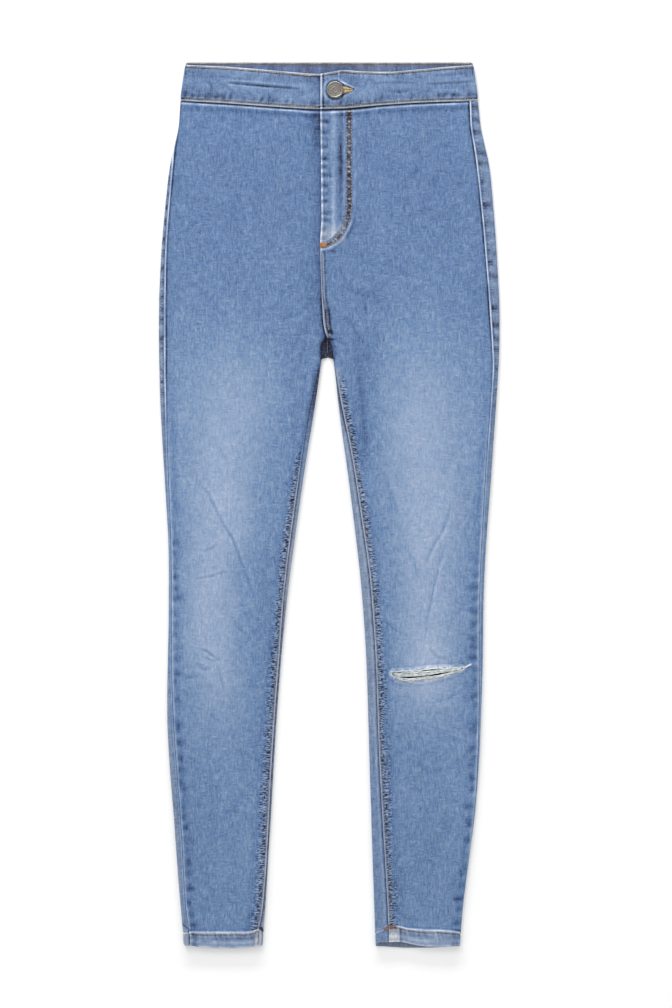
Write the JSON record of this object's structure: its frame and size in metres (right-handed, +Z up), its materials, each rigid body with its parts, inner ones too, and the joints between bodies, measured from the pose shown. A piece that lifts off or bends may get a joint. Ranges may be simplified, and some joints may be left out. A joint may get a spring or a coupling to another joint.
{
  "type": "skinny jeans laid flat",
  "caption": "High-waist skinny jeans in faded stretch denim, laid flat, with a buttoned fly front, a ripped knee and turned-up hems.",
  "frame": {"origin": "on the floor under the middle of the whole garment", "axes": "+Z up from the floor, +Y from the hems to the waist, +X towards the wearer's left leg"},
  "size_m": [0.3984, 1.0355, 0.0086],
  "materials": {
    "denim": "washed stretch denim, faded on the thighs and knees",
    "denim_band": "washed stretch denim, doubled",
    "denim_inside": "grey-blue reverse of the denim",
    "zip_tape": "woven tape",
    "button_metal": "antique, dull",
    "thread": "twisted sewing thread"
  },
  "bodies": {
    "root": {"front_right": "denim", "front_left": "denim", "back_right": "denim", "back_left": "denim", "waistband_front_right": "denim_band", "waistband_front_left": "denim_band", "waistband_back": "denim_inside", "zip": "zip_tape", "button": "button_metal"}
  },
  "joints": []
}
